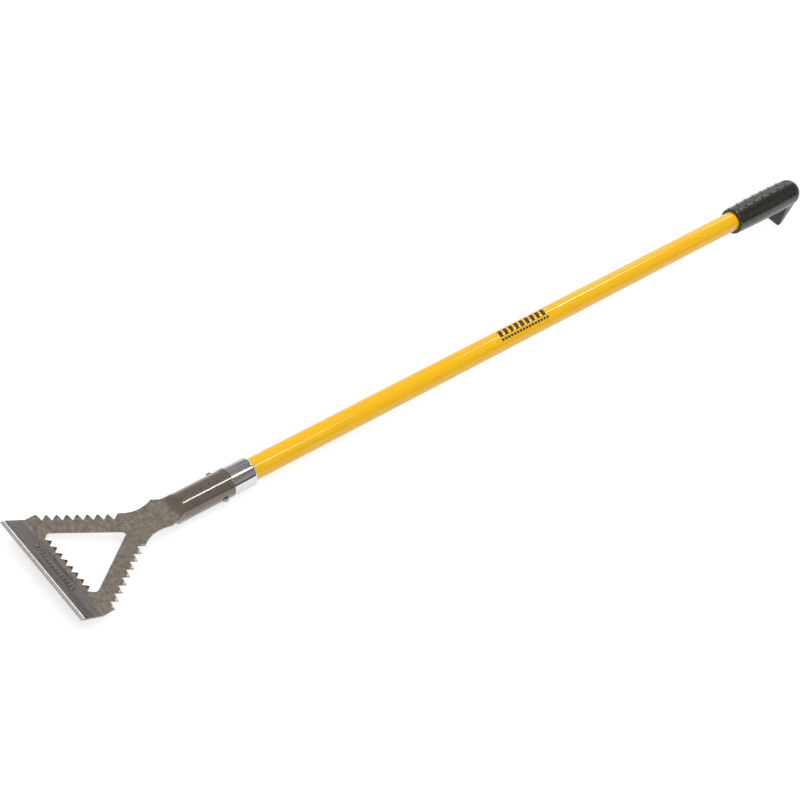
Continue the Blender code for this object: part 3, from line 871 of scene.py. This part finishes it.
def mixed(tree, share, one, two, blend="MIX", kind="RGBA"):
    """One value or colour turning into another; each can be a number, a colour or a socket."""
    node = tree.nodes.new("ShaderNodeMix")
    node.data_type = kind
    if kind == "RGBA":
        node.blend_type = blend
    for socket, value in (("Factor", share), ("A", one), ("B", two)):
        inputs = [i for i in node.inputs if i.name == socket and i.enabled]
        if isinstance(value, (int, float)):
            inputs[0].default_value = value
        elif isinstance(value, tuple):
            inputs[0].default_value = (*value, 1.0)
        else:
            tree.links.new(value, inputs[0])
    return [o for o in node.outputs if o.enabled][0]


def product(tree, one, two):
    node = tree.nodes.new("ShaderNodeMath")
    node.operation = "MULTIPLY"
    tree.links.new(one, node.inputs[0])
    tree.links.new(two, node.inputs[1])
    return node.outputs["Value"]


def spread(tree, value, low, high, to_low, to_high):
    """The range low to high stretched to another, and held at its ends."""
    node = tree.nodes.new("ShaderNodeMapRange")
    for socket, number in zip(
        ("From Min", "From Max", "To Min", "To Max"), (low, high, to_low, to_high)
    ):
        node.inputs[socket].default_value = number
    tree.links.new(value, node.inputs["Value"])
    return node.outputs["Result"]


def bump(tree, shader, height, distance, strength=1.0):
    node = tree.nodes.new("ShaderNodeBump")
    node.inputs["Strength"].default_value = strength
    node.inputs["Distance"].default_value = distance
    tree.links.new(height, node.inputs["Height"])
    tree.links.new(node.outputs["Normal"], shader.inputs["Normal"])


def along_tool(tree, first, last):
    """0 to 1 along the tool between two places of its own frame."""
    split = tree.nodes.new("ShaderNodeSeparateXYZ")
    tree.links.new(place(tree), split.inputs["Vector"])
    start, end = first + GROUND_PLACE.x, last + GROUND_PLACE.x
    if start < end:
        return spread(tree, split.outputs["X"], start, end, 0.0, 1.0)
    return spread(tree, split.outputs["X"], end, start, 1.0, 0.0)


def lacquered_steel():
    """Sheet from the hot rolling mill under clear lacquer: mottled taupe, darker and sleeker round
    the socket; on the blade darker and browner with brushed streaks, that darker tone being
    painted shade.
    """
    made, tree, shader = new_material(
        "lacquered_steel", Metallic=0.4, IOR=1.5, Coat_Weight=0.9, Coat_Roughness=0.05
    )
    where = place(tree)
    clouds = noise(tree, where, 170.0, 6.0, 0.65)
    specks = noise(tree, where, 520.0, 4.0, 0.65)
    taupe = [
        (0.32, (0.104, 0.085, 0.066)),
        (0.50, (0.160, 0.134, 0.108)),
        (0.68, (0.228, 0.196, 0.162)),
    ]
    plate = ramp(tree, clouds, taupe)
    barrel = ramp(tree, clouds, [(0.35, (0.103, 0.084, 0.063)), (0.65, (0.128, 0.107, 0.083))])
    socket = along_tool(tree, *PLATE_TO_SOCKET)
    base = mixed(tree, socket, plate, barrel)
    # Painted shade: the blade's base is a darker, browner copy of the sheet's colour, with streaks
    # along the brushing.
    streaks = noise(tree, place(tree, (1.6, 0.35, 1.0)), 42.0, 5.0, 0.62)
    rolled_rows_and_blade_shade = ramp(tree, streaks, [(0.36, (0.020, 0.015, 0.010)), (0.64, (0.076, 0.066, 0.054))])
    blade = along_tool(tree, *PLATE_TO_BLADE)
    base = mixed(tree, blade, base, rolled_rows_and_blade_shade)
    fine = ramp(tree, specks, [(0.35, (0.76, 0.75, 0.73)), (0.65, (1.16, 1.16, 1.16))])
    tree.links.new(mixed(tree, 1.0, base, fine, "MULTIPLY"), shader.inputs["Base Color"])
    rough = spread(tree, clouds, 0.3, 0.7, 0.46, 0.34)
    rough = mixed(tree, socket, rough, 0.16, kind="FLOAT")
    smeared = spread(tree, streaks, 0.35, 0.65, 0.30, 0.16)
    rough = mixed(tree, blade, rough, smeared, kind="FLOAT")
    tree.links.new(rough, shader.inputs["Roughness"])
    bump(tree, shader, specks, 0.00005, 0.25)
    return made


def ground_steel(name, pale, highlight_range=None):
    """Bare metal with the grinder's fine lines, as bright as pale sets, so a dark copy is painted
    shade. Given a range along the tool, the bright band is a painted highlight, darkened towards
    the front edge so that the glint stays a thin line.
    """
    made, tree, shader = new_material(name, Metallic=0.5)
    lines = noise(tree, place(tree, (1.0, 0.15, 1.0)), 1600.0, 3.0, 0.6)
    clouds = noise(tree, place(tree), 160.0, 3.0, 0.5)
    low = (0.80 * pale, 0.72 * pale**1.2, 0.64 * pale**1.5)
    high = (0.95 * pale, 0.90 * pale**1.2, 0.84 * pale**1.5)
    base = ramp(tree, clouds, [(0.3, low), (0.7, high)])
    # Painted highlight: bright at the back of the honed band, darkened towards the front edge so
    # the glint stays thin.
    if highlight_range:
        across = along_tool(tree, *highlight_range)
        ink_wear_and_highlight_falloff = [
            (0.0, (1, 1, 1)),
            (0.42, (1, 1, 1)),
            (0.58, (0.2, 0.2, 0.2)),
            (0.75, (0.45, 0.45, 0.46)),
        ]
        base = mixed(tree, 1.0, base, ramp(tree, across, ink_wear_and_highlight_falloff), "MULTIPLY")
    tree.links.new(base, shader.inputs["Base Color"])
    tree.links.new(spread(tree, lines, 0.3, 0.7, 0.25, 0.45), shader.inputs["Roughness"])
    bump(tree, shader, lines, 0.00003, 0.3)
    return made


def yellow_fibreglass():
    """Pigmented resin over straight glass fibres: faint streaks along the handle under gloss."""
    made, tree, shader = new_material(
        "yellow_fibreglass",
        Roughness=0.5,
        IOR=1.5,
        Specular_IOR_Level=0.05,
        Coat_Weight=1.0,
        Coat_Roughness=0.025,
    )
    where = place(tree, (0.02, 1.0, 1.0))
    streaks = noise(tree, where, 900.0, 4.0, 0.6)
    base = ramp(tree, streaks, [(0.3, (0.575, 0.308, 0.001)), (0.7, (0.62, 0.342, 0.003))])
    tree.links.new(base, shader.inputs["Base Color"])
    bump(tree, shader, streaks, 0.00003, 0.06)
    return made


def chrome_plate():
    """Polished plating with a few soft wipe marks in its roughness."""
    made, tree, shader = new_material("chrome_plate", Metallic=1.0)
    wipes = noise(tree, place(tree, (1.0, 0.3, 0.3)), 220.0, 4.0, 0.6)
    base = ramp(tree, wipes, [(0.3, (0.60, 0.60, 0.61)), (0.7, (0.66, 0.66, 0.675))])
    tree.links.new(base, shader.inputs["Base Color"])
    tree.links.new(spread(tree, wipes, 0.3, 0.75, 0.03, 0.09), shader.inputs["Roughness"])
    return made


def rivet_steel():
    """Plain upset steel, unevenly matt."""
    made, tree, shader = new_material("rivet_steel", Metallic=0.9)
    clouds = noise(tree, place(tree), 500.0, 4.0, 0.6)
    base = ramp(tree, clouds, [(0.3, (0.26, 0.24, 0.21)), (0.7, (0.42, 0.40, 0.36))])
    tree.links.new(base, shader.inputs["Base Color"])
    tree.links.new(spread(tree, clouds, 0.3, 0.7, 0.3, 0.5), shader.inputs["Roughness"])
    return made


def black_rubber(name, ior, smooth, rough):
    """Moulded rubber: near black, with a fine pebble in its sheen."""
    made, tree, shader = new_material(name, IOR=ior)
    where = place(tree)
    clouds = noise(tree, where, 90.0, 4.0, 0.6)
    pebble = noise(tree, where, 2600.0, 2.0, 0.5)
    base = ramp(tree, clouds, [(0.3, (0.007, 0.0065, 0.0055)), (0.7, (0.013, 0.012, 0.010))])
    tree.links.new(base, shader.inputs["Base Color"])
    tree.links.new(spread(tree, clouds, 0.3, 0.7, smooth, rough), shader.inputs["Roughness"])
    bump(tree, shader, pebble, 0.00004, 0.2)
    return made


def print_ink():
    """Dark brown ink, worn unevenly."""
    made, tree, shader = new_material("print_ink", IOR=1.4, Roughness=0.6)
    ink_wear_and_highlight_falloff = noise(tree, place(tree), 1400.0, 3.0, 0.6)
    base = ramp(tree, ink_wear_and_highlight_falloff, [(0.3, (0.020, 0.014, 0.008)), (0.75, (0.050, 0.036, 0.018))])
    tree.links.new(base, shader.inputs["Base Color"])
    return made


def plug_wood():
    """Turned wood with its grain along the plug."""
    made, tree, shader = new_material("plug_wood_grain", IOR=1.45)
    rings = noise(tree, place(tree, (0.1, 1.0, 1.0)), 420.0, 4.0, 0.6)
    base = ramp(tree, rings, [(0.3, (0.42, 0.27, 0.13)), (0.7, (0.62, 0.44, 0.25))])
    tree.links.new(base, shader.inputs["Base Color"])
    tree.links.new(spread(tree, rings, 0.3, 0.7, 0.8, 0.6), shader.inputs["Roughness"])
    bump(tree, shader, rings, 0.0001, 0.4)
    return made


def pale_floor():
    """Grey, and lit from within, so that it is white with hardly a shadow."""
    return new_material(
        "pale_floor",
        Roughness=0.9,
        Base_Color=(0.30, 0.30, 0.30, 1.0),
        Emission_Color=(1.0, 1.0, 1.0, 1.0),
        Emission_Strength=0.71,
    )[0]


def dress_node(node, surface):
    """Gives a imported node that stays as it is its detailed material."""
    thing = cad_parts[node]
    for slot in thing.material_slots:
        slot.link = "OBJECT"
        slot.material = surface
    shade_flags = [True] * len(thing.data.polygons)
    thing.data.polygons.foreach_set("use_smooth", shade_flags)


# ---------------------------------------------------------------- studio


def make_floor():
    bm = bmesh.new()
    bmesh.ops.create_grid(bm, x_segments=1, y_segments=1, size=30.0)
    floor = mesh_object("studio_floor", bm)
    floor.data.materials.append(pale_floor())


def lamp_data(name, size, power, colour=(1, 1, 1)):
    data = bpy.data.lights.new(name, "AREA")
    data.shape = "RECTANGLE"
    data.size, data.size_y = size
    data.energy = power
    data.color = colour
    return data


def area_light(name, place_at, target, size, power, diffuse=True, glossy=True):
    lamp = new_object(name, lamp_data(name, size, power))
    lamp.location = place_at
    lamp.rotation_euler = (Vector(target) - Vector(place_at)).to_track_quat("-Z", "Y").to_euler()
    lamp.visible_diffuse = diffuse
    lamp.visible_glossy = glossy


def make_world():
    """A grey studio: an uneven dim ceiling, a white sweep low behind the tool, dark before it."""
    world = bpy.data.worlds.new("studio")
    bpy.context.scene.world = world
    world.use_nodes = True
    tree = world.node_tree
    background = tree.nodes["Background"]
    coordinates = tree.nodes.new("ShaderNodeTexCoord")
    split = tree.nodes.new("ShaderNodeSeparateXYZ")
    tree.links.new(coordinates.outputs["Generated"], split.inputs["Vector"])
    lean = tree.nodes.new("ShaderNodeMath")
    lean.operation = "MULTIPLY_ADD"
    lean.inputs[1].default_value = -0.30
    tree.links.new(split.outputs["Y"], lean.inputs[0])
    tree.links.new(split.outputs["Z"], lean.inputs[2])
    uneven = noise(tree, coordinates.outputs["Generated"], 2.2, 2.0, 0.5)
    ceiling = ramp(tree, uneven, [(0.35, (0.21, 0.20, 0.18)), (0.65, (0.42, 0.42, 0.41))])
    sweep = spread(tree, lean.outputs[0], 0.0, 0.16, 1.0, 0.0)
    sky = mixed(tree, sweep, ceiling, (0.74, 0.76, 0.80))
    front = spread(tree, split.outputs["Y"], -0.35, -0.8, 0.0, 1.0)
    low = spread(tree, split.outputs["Z"], 0.0, 0.35, 1.0, 0.0)
    sky = mixed(tree, product(tree, front, low), sky, (0.02, 0.02, 0.02))
    tree.links.new(sky, background.inputs["Color"])
    background.inputs["Strength"].default_value = 1.0


def strip_light(name, first, last, y, width, radiance, fades, colour=(1, 1, 1)):
    """A long lamp over the tool and parallel to it, fading out over its first and last parts."""
    length = last - first
    data = lamp_data(name, (length, width), radiance * math.pi * length * width, colour)
    data.use_nodes = True
    tree = data.node_tree
    where = tree.nodes.new("ShaderNodeNewGeometry")
    split = tree.nodes.new("ShaderNodeSeparateXYZ")
    tree.links.new(where.outputs["Parametric"], split.inputs["Vector"])
    rise = spread(tree, split.outputs["X"], 0.0, fades[0], 0.0, 1.0)
    fall = spread(tree, split.outputs["X"], 1.0 - fades[1], 1.0, 1.0, 0.0)
    tree.links.new(product(tree, rise, fall), tree.nodes["Emission"].inputs["Strength"])
    lamp = new_object(name, data)
    lamp.matrix_world = TOOL @ Matrix.Translation(((first + last) / 2, y, STRIP_HEIGHT))
    lamp.visible_diffuse = False


def make_lights():
    """Soft lamps that only light, and strips and a window that only mirror."""
    area_light("key", (0.0, 0.3, 3.2), (0, 0, 0), (4.5, 4.5), 160.0, glossy=False)
    area_light("fill", (-0.3, -2.8, 2.2), (0, 0, 0), (4.5, 3.5), 70.0, glossy=False)
    area_light("rear", (0.3, 3.0, 2.0), (0, 0, 0), (4.5, 3.0), 60.0, glossy=False)
    strip_light("strip_head", 0.337, 1.15, -0.476, 0.10, 24.0, (0.02, 0.45))
    strip_light("strip_head_halo", 0.45, 1.15, -0.476, 0.42, 1.3, (0.02, 0.30))
    strip_light("strip_handle", 1.42, 2.30, 0.413, 0.10, 33.0, (0.35, 0.45))
    strip_light("strip_grip", 2.60, 2.98, 0.95, 0.34, 8.0, (0.3, 0.4), (1.0, 0.88, 0.70))
    area_light("window", (3.15, 1.85, 1.65), (0.3, 0.0, 0.0), (2.0, 1.7), 9.0, diffuse=False)


def make_camera():
    toward = Vector(
        (
            math.sin(CAMERA_AZIMUTH) * math.cos(CAMERA_ELEVATION),
            -math.cos(CAMERA_AZIMUTH) * math.cos(CAMERA_ELEVATION),
            math.sin(CAMERA_ELEVATION),
        )
    )
    right = Vector((0, 0, 1)).cross(toward).normalized()
    up = toward.cross(right)
    cosine, sine = math.cos(CAMERA_ROLL), math.sin(CAMERA_ROLL)
    across, upward = right * cosine + up * sine, up * cosine - right * sine
    turn = Matrix((across, upward, toward)).transposed().to_4x4()
    data = bpy.data.cameras.new("camera")
    data.lens = CAMERA_LENS
    data.sensor_width = 36.0
    data.clip_end = 60.0
    camera = new_object("camera", data)
    camera.matrix_world = TOOL @ Matrix.Translation(CAMERA_PLACE) @ turn
    bpy.context.scene.camera = camera


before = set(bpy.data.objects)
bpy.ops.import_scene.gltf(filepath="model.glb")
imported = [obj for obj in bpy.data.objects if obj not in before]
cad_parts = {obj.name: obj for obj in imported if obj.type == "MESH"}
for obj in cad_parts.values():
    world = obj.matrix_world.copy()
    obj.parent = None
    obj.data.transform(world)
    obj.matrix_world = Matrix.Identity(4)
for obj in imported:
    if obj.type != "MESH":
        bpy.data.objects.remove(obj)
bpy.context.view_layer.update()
make_camera()
make_floor()
make_world()
make_lights()
make_head(
    lacquered_steel(),
    # Ground facets of the teeth: a lit copy, and a near-black copy that is painted shade.
    ground_steel("ground_steel", 0.62),
    ground_steel("shaded_ground_steel", 0.07),
    # The honed edge: bare steel, painted bright as a highlight.
    ground_steel("honed_steel", 1.0, HONED_GLINT_TO_DARK_FRONT),
)
make_ferrule(chrome_plate())
make_handle(yellow_fibreglass())
make_rivet(rivet_steel())
make_print(print_ink())
make_grip(
    black_rubber("black_rubber", 1.58, 0.20, 0.29),
    black_rubber("matt_rubber", 1.16, 0.30, 0.40),
)
wood = plug_wood()
dress_node("core_plug", wood)
dress_node("end_plug", wood)
bpy.context.scene.view_settings.view_transform = "Standard"
